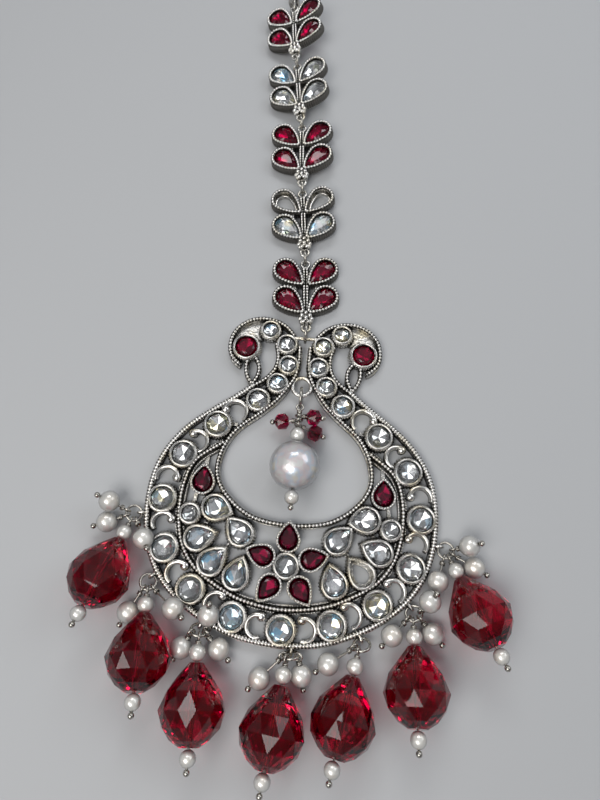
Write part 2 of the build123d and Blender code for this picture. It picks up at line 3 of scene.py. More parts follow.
import bpy
import numpy as np
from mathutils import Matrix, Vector


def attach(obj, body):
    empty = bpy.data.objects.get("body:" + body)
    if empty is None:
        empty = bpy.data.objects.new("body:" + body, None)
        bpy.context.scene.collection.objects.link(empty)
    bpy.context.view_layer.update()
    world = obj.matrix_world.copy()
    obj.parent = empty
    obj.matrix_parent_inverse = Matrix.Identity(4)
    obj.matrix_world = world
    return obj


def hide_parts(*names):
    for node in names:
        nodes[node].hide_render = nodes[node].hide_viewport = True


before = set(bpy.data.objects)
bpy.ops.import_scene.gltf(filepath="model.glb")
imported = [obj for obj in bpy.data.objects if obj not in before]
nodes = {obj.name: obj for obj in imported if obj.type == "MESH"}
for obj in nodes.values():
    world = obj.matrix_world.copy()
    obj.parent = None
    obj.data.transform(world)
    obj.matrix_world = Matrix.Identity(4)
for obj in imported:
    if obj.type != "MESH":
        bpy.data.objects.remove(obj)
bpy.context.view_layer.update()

mm = 0.001

print("stage: camera")
# The camera looks down at the jewel from a little in front, as it lies on its back.
cameraLook = {
    "aim": (-0.18, 32.94, 0.0),     # point of the floor on the lens axis, in mm
    "distance": 118.3,
    "azimuth": 4.8,
    "elevation": 73.0,
    "lens": 25.875,
}


def unitFromAngles(azimuth, elevation):
    a, e = math.radians(azimuth), math.radians(elevation)
    return np.array([math.sin(a) * math.cos(e), -math.cos(a) * math.cos(e), math.sin(e)])


# Puts obj at place with its -Z axis towards target.
def pointedObject(obj, place, target):
    obj.location = Vector(place)
    obj.rotation_euler = (Vector(target) - Vector(place)).to_track_quat("-Z", "Y").to_euler()


cameraData = bpy.data.cameras.new("camera")
cameraData.lens = cameraLook["lens"]
cameraData.clip_start = 0.002
camera = bpy.data.objects.new("camera", cameraData)
bpy.context.scene.collection.objects.link(camera)
aim = np.array(cameraLook["aim"]) * mm
toCamera = unitFromAngles(cameraLook["azimuth"], cameraLook["elevation"])
pointedObject(camera, aim + toCamera * cameraLook["distance"] * mm, aim)
bpy.context.scene.camera = camera
bpy.context.scene.view_settings.view_transform = "Standard"

print("stage: light")
lightLook = {
    # brightness of the room by the height looked at, from level (0) to straight up (1)
    "room": [(0.0, (0.62, 0.64, 0.67)), (0.22, (0.36, 0.37, 0.39)), (0.45, (0.08, 0.08, 0.09)),
             (0.70, (0.12, 0.12, 0.13)), (0.92, (0.42, 0.43, 0.45))],
    "room strength": 1.0,
    "lamp aim": (0.0, 30.0, 0.0),    # place the lamps point at, in mm
    # name: (azimuth, elevation, distance mm, width mm, height mm, power W, colour)
    "lamps": {
        "key": (-38, 58, 330, 240, 170, 0.60, (1.0, 0.98, 0.95)),
        "fill": (120, 40, 360, 220, 140, 0.24, (0.92, 0.96, 1.0)),
        "back": (185, 48, 380, 220, 90, 0.36, (1.0, 1.0, 1.0)),
    },
}
world = bpy.data.worlds.new("world")
bpy.context.scene.world = world
world.use_nodes = True
for lampName, (azimuth, elevation, distance, width, height, power, colour) in \
        lightLook["lamps"].items():
    lampData = bpy.data.lights.new(lampName, "AREA")
    lampData.shape = "RECTANGLE"
    lampData.size = width * mm
    lampData.size_y = height * mm
    lampData.energy = power
    lampData.color = colour
    lamp = bpy.data.objects.new(lampName, lampData)
    bpy.context.scene.collection.objects.link(lamp)
    lampAim = np.array(lightLook["lamp aim"]) * mm
    pointedObject(lamp, lampAim + unitFromAngles(azimuth, elevation) * distance * mm, lampAim)

print("stage: shared node groups")


# Empty shader node group with outputs of these names, each a Color or a Float.
def newGroup(name, **outputs):
    group = bpy.data.node_groups.new(name, "ShaderNodeTree")
    for socketName, kind in outputs.items():
        group.interface.new_socket(socketName, in_out="OUTPUT", socket_type="NodeSocket" + kind)
    return group


# Adds one node. settings are its own properties, inputs are values or sockets, with spaces in
# a socket's name written as underscores.
def addNode(tree, kind, settings=None, **inputs):
    node = tree.nodes.new(kind)
    for key, value in (settings or {}).items():
        setattr(node, key, value)
    for key, value in inputs.items():
        socket = node.inputs[int(key[1:])] if key[0] == "i" and key[1:].isdigit() else \
            node.inputs[key.replace("_", " ")]
        if isinstance(value, bpy.types.NodeSocket):
            tree.links.new(value, socket)
        else:
            socket.default_value = value
    return node


# Colour ramp through (position, grey or colour) stops.
def ramp(tree, value, stops):
    node = addNode(tree, "ShaderNodeValToRGB", i0=value)
    stops = list(stops)
    elements = node.color_ramp.elements
    while len(elements) < len(stops):
        elements.new(0.5)
    for element, (position, colour) in zip(elements, stops):
        element.position = position
        element.color = (*colour, 1) if isinstance(colour, tuple) else (colour,) * 3 + (1,)
    return node.outputs["Color"]


def ownPlace(tree):
    return addNode(tree, "ShaderNodeTexCoord").outputs["Object"]


# Low colour where the part is 0, high where it is 1. Both are colours or sockets.
def mixedColour(tree, part, low, high):
    low, high = [value if isinstance(value, bpy.types.NodeSocket) else (*value, 1)
                 for value in (low, high)]
    return addNode(tree, "ShaderNodeMix", {"data_type": "RGBA"}, i0=part, i6=low,
                   i7=high).outputs[2]


# Links the results to the group's outputs of the same names.
def closedGroup(group, **results):
    out = group.nodes.new("NodeGroupOutput")
    for name, result in results.items():
        group.links.new(result, out.inputs[name])
    return group


silverLook = {
    # reach: how far off a neighbour still shades the metal; worn: shade where oxide gives way
    "cast": {"bright": (0.72, 0.705, 0.67), "warm": (0.64, 0.585, 0.46), "reach": 0.0022,
             "worn": (0.26, 0.62), "speckle": 0.9},
    "bead": {"bright": (0.90, 0.885, 0.85), "warm": (0.84, 0.80, 0.70), "reach": 0.0006,
             "worn": (0.46, 0.80), "speckle": 0.15},
    # dark colour: oxide in the hollows, and painted shade on the setting's low parts and under
    # the bead rows
    "oxideAndShade": (0.03, 0.027, 0.022),
    # warm patches: noise values where the warm tint starts and is full
    "patch scale": 260.0, "patch range": (0.48, 0.68),
    "grain scale": 2000.0,
    "oxide roughness": 0.55, "bright roughness": 0.20,
    # strength and distance in metres of the grain's bump
    "cast bump": (0.8, 0.00022), "worn bump": (0.15, 0.00004), "bead bump": (0.1, 0.00002),
    # heights in metres between which the pierced setting goes from the dark colour to its own
    # colour: painted shade on its low parts
    "setting shade heights": (0.0001, 0.0010),
}


# Colour, roughness and height of cast silver: bright where it is open to the light and worn,
# dark oxide where its surroundings shade it, slightly warm in soft patches.
def makeSilverGroup(name, look):
    group = newGroup(name, Color="Color", Roughness="Float", Height="Float")
    place = ownPlace(group)
    patch = addNode(group, "ShaderNodeTexNoise", Vector=place,
                    Scale=silverLook["patch scale"], Detail=3.0).outputs["Fac"]
    grain = addNode(group, "ShaderNodeTexNoise", Vector=place,
                    Scale=silverLook["grain scale"], Detail=4.0).outputs["Fac"]
    shade = addNode(group, "ShaderNodeAmbientOcclusion", {"samples": 6},
                    Distance=look["reach"]).outputs["AO"]
    uneven = addNode(group, "ShaderNodeMath", {"operation": "MULTIPLY_ADD"},
                     i0=grain, i1=look["speckle"], i2=-0.5 * look["speckle"]).outputs[0]
    spread = addNode(group, "ShaderNodeMath", {"operation": "ADD"}, i0=shade,
                     i1=uneven).outputs[0]
    worn = ramp(group, spread, zip(look["worn"], (0.0, 1.0)))
    warmth = ramp(group, patch, zip(silverLook["patch range"], (0.0, 1.0)))
    metal = mixedColour(group, warmth, look["bright"], look["warm"])
    colour = mixedColour(group, worn, silverLook["oxideAndShade"], metal)
    rough = addNode(group, "ShaderNodeMapRange", i0=worn, i3=silverLook["oxide roughness"],
                    i4=silverLook["bright roughness"]).outputs[0]
    return closedGroup(group, Color=colour, Roughness=rough, Height=grain)


pearlLook = {
    "large": [(0.36, (0.74, 0.74, 0.72)), (0.46, (0.74, 0.65, 0.66)), (0.56, (0.61, 0.69, 0.78)),
              (0.68, (0.78, 0.73, 0.62))],
    "small": [(0.36, (0.75, 0.74, 0.70)), (0.50, (0.85, 0.83, 0.78)), (0.64, (0.81, 0.76, 0.68))],
    # edge: colour of the painted shade toward a pearl's outline; edge blend: how soon it comes in
    "edge": (0.24, 0.24, 0.24), "edge blend": 0.55,
    "patch scale": 420.0,
    "bump": (0.5, 0.0004),    # strength and distance in metres
}


# Colour and height of pearls: soft white, pink, blue and cream patches, greyer toward the outline
# as seen, which is painted shade.
def makePearlGroup(name, tints):
    group = newGroup(name, Color="Color", Height="Float")
    patch = addNode(group, "ShaderNodeTexNoise", Vector=ownPlace(group),
                    Scale=pearlLook["patch scale"], Detail=2.0).outputs["Fac"]
    skin = ramp(group, patch, tints)
    rimShade = addNode(group, "ShaderNodeLayerWeight",
                     Blend=pearlLook["edge blend"]).outputs["Facing"]
    colour = mixedColour(group, rimShade, skin, pearlLook["edge"])
    return closedGroup(group, Color=colour, Height=patch)


foilLook = {
    "scale": 680.0,
    # greys of the foil, and blue and yellow stops that are painted flashes
    "greysAndFlashes": [(0.0, (0.52, 0.53, 0.53)), (0.32, (0.80, 0.81, 0.81)), (0.70, (0.93, 0.93, 0.93)),
              (0.85, (0.42, 0.74, 0.97)), (0.95, (0.95, 0.89, 0.66))],
}


# Colour of the foil under clear stones: uneven greys of its own, with a few blue and yellow cells
# painted in as coloured flashes of light.
def makeFoilGroup():
    group = newGroup("foilTintAndFlashes", Color="Color")
    cell = addNode(group, "ShaderNodeTexVoronoi", Vector=ownPlace(group),
                   Scale=foilLook["scale"]).outputs["Color"]
    value = addNode(group, "ShaderNodeSeparateColor", i0=cell).outputs[0]
    return closedGroup(group, Color=ramp(group, value, foilLook["greysAndFlashes"]))


roomTree = world.node_tree
background = roomTree.nodes["Background"]
roomWay = addNode(roomTree, "ShaderNodeTexCoord").outputs["Generated"]
roomHeight = addNode(roomTree, "ShaderNodeSeparateXYZ", i0=roomWay).outputs["Z"]
roomTree.links.new(ramp(roomTree, roomHeight, lightLook["room"]), background.inputs["Color"])
background.inputs["Strength"].default_value = lightLook["room strength"]

castGroup = makeSilverGroup("castWear", silverLook["cast"])
beadGroup = makeSilverGroup("beadWear", silverLook["bead"])
foilGroup = makeFoilGroup()

print("stage: materials")


# Material with a Principled BSDF and these plain values.
def newMaterial(name, **values):
    material = bpy.data.materials.new(name)
    material.use_nodes = True
    shader = material.node_tree.nodes["Principled BSDF"]
    for key, value in values.items():
        shader.inputs[key.replace("_", " ")].default_value = value
    return material, material.node_tree, shader


def bumpInto(tree, shader, height, strengthAndDistance):
    strength, distance = strengthAndDistance
    bump = addNode(tree, "ShaderNodeBump", Height=height, Strength=strength, Distance=distance)
    tree.links.new(bump.outputs["Normal"], shader.inputs["Normal"])


# Silver with wear. With a low and a high height in metres it also darkens toward the low one, as
# painted shade.
def makeSilver(name, group, bump, heights=None):
    material, tree, shader = newMaterial(name, Metallic=1.0)
    wear = addNode(tree, "ShaderNodeGroup", {"node_tree": group})
    colour = wear.outputs["Color"]
    if heights:
        # painted shade: the colour goes dark toward the bottom of the piece
        rise = addNode(tree, "ShaderNodeSeparateXYZ", i0=ownPlace(tree)).outputs["Z"]
        unshaded = addNode(tree, "ShaderNodeMapRange", i0=rise, i1=heights[0],
                           i2=heights[1]).outputs[0]
        colour = mixedColour(tree, unshaded, silverLook["oxideAndShade"], colour)
    tree.links.new(colour, shader.inputs["Base Color"])
    tree.links.new(wear.outputs["Roughness"], shader.inputs["Roughness"])
    bumpInto(tree, shader, wear.outputs["Height"], bump)
    return material


castSilver = makeSilver("castSilver", castGroup, silverLook["cast bump"])
settingSilver = makeSilver("settingSilver", castGroup, silverLook["cast bump"],
                           silverLook["setting shade heights"])
wornSilver = makeSilver("wornSilver", castGroup, silverLook["worn bump"])
beadSilver = makeSilver("beadSilver", beadGroup, silverLook["bead bump"])

plainLook = {
    # colour, roughness, metallic; the foils are the mirrors behind red stones
    # painted shade: plain dark silver for the beds under the bead rows
    "paintedShadeSilver": (silverLook["oxideAndShade"], 0.6, 1.0),
    "darkSilver": ((0.17, 0.16, 0.145), 0.36, 1.0),
    "wireSilver": ((0.43, 0.41, 0.37), 0.24, 1.0),
    "rubyFoil": ((0.56, 0.01, 0.20), 0.18, 0.8),
    "deepFoil": ((0.36, 0.006, 0.14), 0.18, 0.8),
}


def makePlain(name):
    colour, roughness, metallic = plainLook[name]
    return newMaterial(name, Base_Color=(*colour, 1), Roughness=roughness,
                       Metallic=metallic)[0]


paintedShadeSilver = makePlain("paintedShadeSilver")
darkSilver = makePlain("darkSilver")
wireSilver = makePlain("wireSilver")


def makePearl(name, tints):
    material, tree, shader = newMaterial(name, Metallic=0.35, Roughness=0.30,
                                         Coat_Weight=0.8, Coat_Roughness=0.08)
    skin = addNode(tree, "ShaderNodeGroup", {"node_tree": makePearlGroup(name + "Skin", tints)})
    tree.links.new(skin.outputs["Color"], shader.inputs["Base Color"])
    bumpInto(tree, shader, skin.outputs["Height"], pearlLook["bump"])
    return material


largePearl = makePearl("largePearl", pearlLook["large"])
smallPearl = makePearl("smallPearl", pearlLook["small"])

glassLook = {
    # colour, roughness, index of refraction
    "clearGlass": ((0.97, 0.975, 0.975), 0.02, 1.55),
    "rubyGlass": ((0.38, 0.002, 0.11), 0.04, 1.5),
    "deepGlass": ((0.27, 0.001, 0.09), 0.04, 1.5),
    "wineGlass": ((0.36, 0.001, 0.045), 0.03, 1.5),
    "redGlass": ((0.46, 0.0006, 0.026), 0.02, 1.46),
}


def makeGlass(name):
    colour, roughness, ior = glassLook[name]
    return newMaterial(name, Base_Color=(*colour, 1), Roughness=roughness,
                       Transmission_Weight=1.0, IOR=ior)[0]


clearGlass = makeGlass("clearGlass")
clearFoil, foilTree, foilShader = newMaterial("clearFoil", Metallic=0.85, Roughness=0.06)
tintNode = addNode(foilTree, "ShaderNodeGroup", {"node_tree": foilGroup})
foilTree.links.new(tintNode.outputs["Color"], foilShader.inputs["Base Color"])
rubyGlass = makeGlass("rubyGlass")
rubyFoil = makePlain("rubyFoil")
deepGlass = makeGlass("deepGlass")
deepFoil = makePlain("deepFoil")
wineGlass = makeGlass("wineGlass")
redGlass = makeGlass("redGlass")

print("stage: surfaces")


# Mesh object from an array of vertices in mm and an array of faces, riding the body.
def makeObject(name, vertices, faces, materials, smooth, slotName, faceMaterials=None):
    mesh = bpy.data.meshes.new(name)
    mesh.from_pydata((np.asarray(vertices) * mm).tolist(), [], np.asarray(faces).tolist())
    for material in materials:
        mesh.materials.append(material)
    if faceMaterials is not None:
        mesh.polygons.foreach_set("material_index", np.asarray(faceMaterials, np.int32))
    mesh.polygons.foreach_set("use_smooth", np.full(len(mesh.polygons), smooth))
    mesh.update()
    obj = bpy.data.objects.new(name, mesh)
    bpy.context.scene.collection.objects.link(obj)
    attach(obj, "root")
    return obj


# Quads between neighbouring rows and columns of a grid of points.
def gridFaces(rows, columns, closeRows, closeColumns):
    r = np.arange(rows if closeRows else rows - 1)
    c = np.arange(columns if closeColumns else columns - 1)
    r, c = np.meshgrid(r, c, indexing="ij")
    r2, c2 = (r + 1) % rows, (c + 1) % columns
    quads = np.stack([r * columns + c, r2 * columns + c, r2 * columns + c2,
                      r * columns + c2], axis=-1)
    return quads.reshape(-1, 4)


# One vertex array and one face array from several.
def joined(parts):
    offset, vertices, faces = 0, [], []
    for partVertices, partFaces in parts:
        vertices.append(partVertices)
        faces.append(partFaces + offset)
        offset += len(partVertices)
    return np.vstack(vertices), np.vstack(faces)


# One smooth silver piece from several parts.
def silverPiece(name, parts, material, slotName="silver_setting"):
    makeObject(name, *joined(parts), [material], True, slotName)


# Cubic spline through the points: on each span the place is a cubic in the chord length,
# slopes and curvatures agree where spans meet, and the curvature is nought at both ends.
def splinePath(points, step):
    knots = np.asarray(points, float)
    chord = np.concatenate([[0], np.cumsum(np.linalg.norm(np.diff(knots, axis=0), axis=1))])
    span = np.diff(chord)
    count = len(knots)
    matrix, right = np.eye(count), np.zeros_like(knots)
    for i in range(1, count - 1):
        matrix[i, i - 1:i + 2] = span[i - 1], 2 * (span[i - 1] + span[i]), span[i]
        right[i] = 6 * ((knots[i + 1] - knots[i]) / span[i]
                        - (knots[i] - knots[i - 1]) / span[i - 1])
    bend = np.linalg.solve(matrix, right)
    along = np.linspace(0, chord[-1], max(3, int(chord[-1] / step)))
    i = np.clip(np.searchsorted(chord, along, side="right") - 1, 0, count - 2)
    a = ((chord[i + 1] - along) / span[i])[:, None]
    b = 1 - a
    return (a * knots[i] + b * knots[i + 1]
            + ((a**3 - a) * bend[i] + (b**3 - b) * bend[i + 1]) * (span[i]**2)[:, None] / 6)


# The same path with points at an even spacing close to step, and that spacing.
def evenPath(path, step, closed=False):
    path = np.asarray(path, float)
    if closed:
        path = np.vstack([path, path[:1]])
    run = np.concatenate([[0], np.cumsum(np.linalg.norm(np.diff(path, axis=0), axis=1))])
    count = max(4, int(round(run[-1] / step)))
    along = np.linspace(0, run[-1], count + 1)
    if closed:
        along = along[:-1]
    even = np.stack([np.interp(along, run, column) for column in path.T], axis=1)
    return even, run[-1] / count


# Unit vectors in plan to the right of a path's course.
def rightOf(path, closed):
    if closed:
        ahead = np.roll(path, -1, axis=0) - np.roll(path, 1, axis=0)
    else:
        ahead = np.gradient(path, axis=0)
    ahead /= np.linalg.norm(ahead, axis=1)[:, None]
    return np.stack([ahead[:, 1], -ahead[:, 0]], axis=1)


# Tube round a level path. Each point is the path's place, plus the radius times the cosine
# of the angle sideways, plus the radius times its sine times flatten upwards.
def tubePart(path, radii, sides, closed, height, flatten=1.0):
    angle = np.linspace(0, 2 * np.pi, sides, endpoint=False)
    aside = (radii[:, None] * np.cos(angle))[:, :, None]
    points = np.zeros((len(path), sides, 3))
    points[:, :, :2] = path[:, None] + rightOf(path, closed)[:, None] * aside
    points[:, :, 2] = height + flatten * radii[:, None] * np.sin(angle)
    return points.reshape(-1, 3), gridFaces(len(path), sides, closed, True)


# Milgrain: a tube whose radius swells once in every pitch. The radius is the waist plus the
# rest times one minus the square of the way from the swelling's middle.
def beadedTube(path, height, radius, pitch, waist, closed, samples=6, sides=8, flatten=1.0):
    even, step = evenPath(path, pitch / samples, closed)
    if closed:
        count = max(3, int(round(len(even) / samples)))
        even, step = evenPath(path, step * len(even) / (count * samples), closed)
    phase = np.arange(len(even)) % samples / samples * 2 - 1
    radii = radius * (waist + (1 - waist) * (1 - phase**2))
    return tubePart(even, radii, sides, closed, height, flatten)


# Smooth round wire along a path.
def plainTube(path, height, radius, closed, step=0.4, sides=8, flatten=1.0):
    even, _ = evenPath(path, step, closed)
    return tubePart(even, np.full(len(even), radius), sides, closed, height, flatten)


# Ellipsoid: the radii times the cosines and sines of latitude and longitude.
def ballPart(centre, radii, rows=10, columns=14):
    latitude = np.linspace(-np.pi / 2, np.pi / 2, rows)
    longitude = np.linspace(0, 2 * np.pi, columns, endpoint=False)
    lat, lon = np.meshgrid(latitude, longitude, indexing="ij")
    grid = np.stack([np.cos(lat) * np.cos(lon), np.cos(lat) * np.sin(lon), np.sin(lat)], axis=-1)
    points = np.asarray(centre, float) + grid * np.asarray(radii, float)
    return points.reshape(-1, 3), gridFaces(rows, columns, False, True)[:, ::-1]


print("stage: plan of the crescent")
# Centre lines of the rails on the right half, from the bottom point up: x, y in mm
rimLine = [(0, -13.7), (6.2, -13.2), (12.4, -11.3), (18.3, -8.1), (23.2, -3.7), (26.4, 2.3),
           (27.6, 9.6), (26.7, 17.2), (23.4, 23.4), (18.4, 28.2), (13.4, 31.9), (9.9, 34.8)]
borderLine = [(0, -7.7), (5.0, -7.2), (9.0, -6.2), (12.2, -4.7), (15.2, -3.0), (17.8, -0.8),
              (19.5, 1.6), (20.7, 4.6), (21.3, 8.0), (21.4, 11.5), (21.0, 14.6), (20.2, 17.2),
              (18.8, 19.2), (16.9, 20.7), (14.3, 22.6)]
innerLine = [(0.6, 7.4), (5.0, 7.8), (8.4, 8.9), (11.4, 10.9), (13.8, 13.5), (15.0, 16.2),
             (15.0, 19.2), (14.0, 22.4), (11.9, 25.6), (9.0, 28.1), (6.5, 30.3), (4.4, 32.6),
             (2.9, 34.9), (1.7, 37.0), (1.15, 39.3), (1.1, 43.8)]
neckLine = [(10.1, 34.6), (7.2, 36.7), (5.7, 39.0), (5.4, 41.6), (6.0, 44.2)]
headLine = [(2.4, 46.2), (4.4, 48.3), (7.2, 49.5), (10.2, 49.6), (12.9, 48.5), (14.9, 46.3),
            (15.6, 43.7), (15.1, 41.0), (13.0, 38.9)]
loopLines = [[(10.2, 35.0), (9.2, 37.2), (9.2, 39.2), (10.2, 41.0)],
             [(10.2, 35.0), (11.4, 36.8), (11.8, 38.6), (11.6, 40.6)]]
# Round settings on the right half: kind, x, y, outer radius; those at x = 0 stand alone
roundSettings = [
    ("rim", 0, -11.2, 2.65), ("rim", 9.1, -9.7, 2.65), ("rim", 17.25, -5.55, 2.65),
    ("rim", 23.15, 1.4, 2.65), ("rim", 24.85, 10.5, 2.65), ("rim", 22.1, 19.45, 2.65),
    ("rim", 16.1, 26.0, 2.65), ("neck", 8.6, 31.7, 2.35), ("neck", 5.0, 35.5, 2.1),
    ("neck", 3.1, 39.6, 2.05), ("neck", 3.8, 44.2, 2.1), ("neck", 7.5, 47.1, 2.05),
    ("field", 0, 0, 2.4), ("field", 19.2, 8.1, 2.0), ("headRuby", 12.2, 42.95, 2.75),
]
# Pear settings on the right half: kind, x, y, direction of the tip, length, width
pearSettings = [
    ("field", 14.6, 9.6, 195, 6.2, 5.1), ("field", 9.1, 5.1, 45, 6.3, 4.9),
    ("field", 17.3, 3.65, 159, 6.3, 4.9), ("field", 14.2, -0.6, 132, 6.4, 4.9),
    ("field", 9.2, -2.7, 108, 6.3, 4.9), ("hornRuby", 17.5, 14.2, 91, 6.1, 4.8),
]
emptySetting = (14.2, -0.6)
petals = {"count": 5, "first": 90, "reach": 4.6, "length": 6.0, "width": 4.6}
# Scroll hooks of the rim on the right half: x, y, radius, start angle, sweep
scrollHooks = [
    (4.3, -10.9, 2.0, 110, -215), (12.2, -7.9, 2.15, 120, -190), (20.1, -3.0, 2.1, 130, -185),
    (24.2, 5.9, 2.0, 150, -190), (24.7, 14.6, 2.15, 175, -190), (19.8, 22.2, 2.1, 60, 195),
    (12.9, 28.9, 2.3, 10, 215),
]
bezelLook = {"height": 2.3, "wall": 0.42, "floor": 0.75, "rise": 0.35, "gap": 0.1}


def mirrored(points):
    return [(-x, y) for x, y in points]


def bothHalves(line):
    return mirrored(line[:0:-1]) + line


pearSideRatio = 1.7    # radius of a pear's side against the distance of its tip


# Points round a pear with its round end about the origin and its tip on +X. Each side is an
# arc that touches the round end from inside.
def pearOutline(length, width, inset, sideSteps=10, roundSteps=16):
    roundRadius = width / 2
    tip = length - roundRadius
    sideRadius = pearSideRatio * tip
    centreX = (tip**2 - 2 * sideRadius * roundRadius + roundRadius**2) / (2 * tip)
    centreY = -math.sqrt((sideRadius - roundRadius)**2 - centreX**2)
    sideRadius, roundRadius = sideRadius - inset, roundRadius - inset
    start = math.asin(-centreY / sideRadius)
    finish = math.atan2(-centreY, -centreX)
    a = np.linspace(start, finish, sideSteps + 1)
    upper = np.stack([centreX + sideRadius * np.cos(a), centreY + sideRadius * np.sin(a)], 1)
    b = np.linspace(finish, 2 * np.pi - finish, roundSteps + 1)[1:-1]
    end = np.stack([roundRadius * np.cos(b), roundRadius * np.sin(b)], 1)
    lower = upper[::-1][:-1] * (1, -1)
    return np.vstack([upper, end, lower])


def circleOutline(radius, count):
    a = np.linspace(0, 2 * np.pi, count, endpoint=False)
    return np.stack([radius * np.cos(a), radius * np.sin(a)], axis=1)


def placed(points, x, y, turn):
    a = math.radians(turn)
    turned = np.array(points, float)
    turned[:, :2] = np.stack([points[:, 0] * math.cos(a) - points[:, 1] * math.sin(a) + x,
                              points[:, 0] * math.sin(a) + points[:, 1] * math.cos(a) + y], 1)
    return turned


roundPlaces = [(kind, side * x, y, radius) for kind, x, y, radius in roundSettings
               for side in ((1, -1) if x else (1,))]
pearPlaces = [(kind, side * x, y, turn if side > 0 else 180 - turn, length, width)
              for kind, x, y, turn, length, width in pearSettings for side in (1, -1)]
for i in range(petals["count"]):
    toward = petals["first"] + i * 360 / petals["count"]
    pearPlaces.append(("petal", petals["reach"] * math.cos(math.radians(toward)),
                       petals["reach"] * math.sin(math.radians(toward)), toward,
                       petals["length"], petals["width"]))

print("stage: leaf links")
# Leaf links from the crescent upward: heading in plan and roll in degrees, sort of stone
leafLinks = [(95.0, 0.0, "ruby"), (96.5, 4.0, "clear"), (94.5, 8.0, "ruby"),
             (97.5, 13.0, "clear"), (96.0, 19.0, "ruby")]
leafLook = {
    "length": 8.1, "width": 5.3, "lean": 46.0, "aside": 0.4, "tips": (-6.3, 0.3),
    "height": 2.0, "first eye": (-0.25, 48.6), "eye height": 1.2, "bottom eye": -9.4,
    "top eye": 5.6, "eye step": 2.75, "half span": 7.05, "empty pair": {2: 1},
    "granules": [(0, -6.2), (-0.85, -6.75), (0.85, -6.75), (0, -7.3), (-1.2, -7.65), (1.2, -7.65),
                 (-0.55, -8.25), (0.55, -8.25)],
    "granule": 0.48, "granule height": 1.86,
    # granule bed and bed radii: centre and radii of a dark bed of painted shade under the
    # granules
    "granule bed": (0, -7.3, 1.42), "bed radii": (1.55, 1.5, 0.25),
}
leafPlaces = []
for pair, tipY in enumerate(leafLook["tips"]):
    for side in (1, -1):
        toward = 90 - side * leafLook["lean"]
        back = leafLook["length"] - leafLook["width"] / 2
        leafPlaces.append((pair, side * leafLook["aside"] + back * math.cos(math.radians(toward)),
                           tipY + back * math.sin(math.radians(toward)), toward + 180))


# Origin and axes (across, up the chain, out of the face) of each leaf link. A link's bottom
# eye lies a ring's step beyond the eye before it, and a roll lifts the whole link.
def linkFrames():
    frames = []
    bottom = np.array([*leafLook["first eye"], 0.0])
    for number, (heading, roll, _) in enumerate(leafLinks):
        h, r = math.radians(heading), math.radians(roll)
        up = np.array([math.cos(h), math.sin(h), 0.0])
        across = np.array([up[1] * math.cos(r), -up[0] * math.cos(r), math.sin(r)])
        if number:
            bottom = np.array([topEye[0], topEye[1], 0.0]) + up * leafLook["eye step"]
        lift = leafLook["half span"] * math.sin(r)
        origin = np.array([bottom[0], bottom[1], lift]) - up * leafLook["bottom eye"]
        outward = np.cross(across, up)
        frames.append((origin, across, up, outward))
        topEye = origin + up * leafLook["top eye"] + outward * leafLook["eye height"]
    return frames


def inFrame(points, linkFrame):
    origin, across, up, outward = linkFrame
    return origin + points[:, :1] * across + points[:, 1:2] * up + points[:, 2:3] * outward


# Vertices and faces of a part, with the vertices moved into a link's frame.
def framedPart(part, linkFrame):
    return inFrame(part[0], linkFrame), part[1]


leafFrames = linkFrames()

print("stage: milgrain and lips of the crescent")
edgeLook = {
    # rim: ribbed outer rope; border and inner: bead rows; all radii and pitches in mm
    "rim radius": 0.54, "rim pitch": 0.62, "rim waist": 0.35, "rim height": 1.74,
    "rim flatness": 0.8,
    "outer wire": 0.20, "outer offset": 0.52, "outer height": 1.05,
    "bead radius": 0.38, "bead pitch": 0.70, "bead waist": 0.10, "bead height": 1.86,
    "side bead": 0.24, "side pitch": 0.50, "side offset": 0.68, "side height": 1.0,
    # painted shade: dark bed under a row of beads, standing for the shade between them: how wide
    # against the beads, how flat, how far below them
    "bed width": 1.12, "bed flatness": 0.18, "bed drop": 0.08,
    # dark beds of painted shade under the rim rope and the petals' beads: radius, and rise before
    # that drop
    "rim bed": 0.44, "rim bed rise": 0.1, "petal bed": 0.2, "petal bed rise": 0.06,
}
pathStep = 0.2


# Path moved sideways: each place plus the distance times the right-hand normal.
def offsetPath(path, distance):
    return path + rightOf(path, False) * distance


# Dark flat strip of painted shade under a row of beads of this radius, showing between the beads.
def shadeStrip(path, height, radius, closed):
    return plainTube(path, height - edgeLook["bed drop"], radius * edgeLook["bed width"], closed,
                     step=0.5, sides=6, flatten=edgeLook["bed flatness"])


rimPath = splinePath(bothHalves(rimLine), pathStep)
borderPath = splinePath(bothHalves(borderLine), pathStep)
rimParts = [
    beadedTube(rimPath, edgeLook["rim height"], edgeLook["rim radius"], edgeLook["rim pitch"],
               edgeLook["rim waist"], False, sides=10, flatten=edgeLook["rim flatness"]),
    plainTube(offsetPath(rimPath, edgeLook["outer offset"]), edgeLook["outer height"],
              edgeLook["outer wire"], False),
]
silverPiece("rim_rope", rimParts, beadSilver)

beadParts = []
shadeParts = [shadeStrip(rimPath, edgeLook["rim height"] + edgeLook["rim bed rise"],
                     edgeLook["rim bed"], False)]
railPaths = [borderPath] + [splinePath(half, pathStep)
                            for line in (innerLine, neckLine, headLine, *loopLines)
                            for half in (line, mirrored(line))]
for path in railPaths:
    beadParts.append(beadedTube(path, edgeLook["bead height"], edgeLook["bead radius"],
                                edgeLook["bead pitch"], edgeLook["bead waist"], False))
    shadeParts.append(shadeStrip(path, edgeLook["bead height"], edgeLook["bead radius"], False))
for distance in (edgeLook["side offset"], -edgeLook["side offset"]):
    beadParts.append(beadedTube(offsetPath(borderPath, distance), edgeLook["side height"],
                                edgeLook["side bead"], edgeLook["side pitch"],
                                edgeLook["bead waist"], False, samples=5, sides=6))
silverPiece("rail_beads", beadParts, beadSilver)

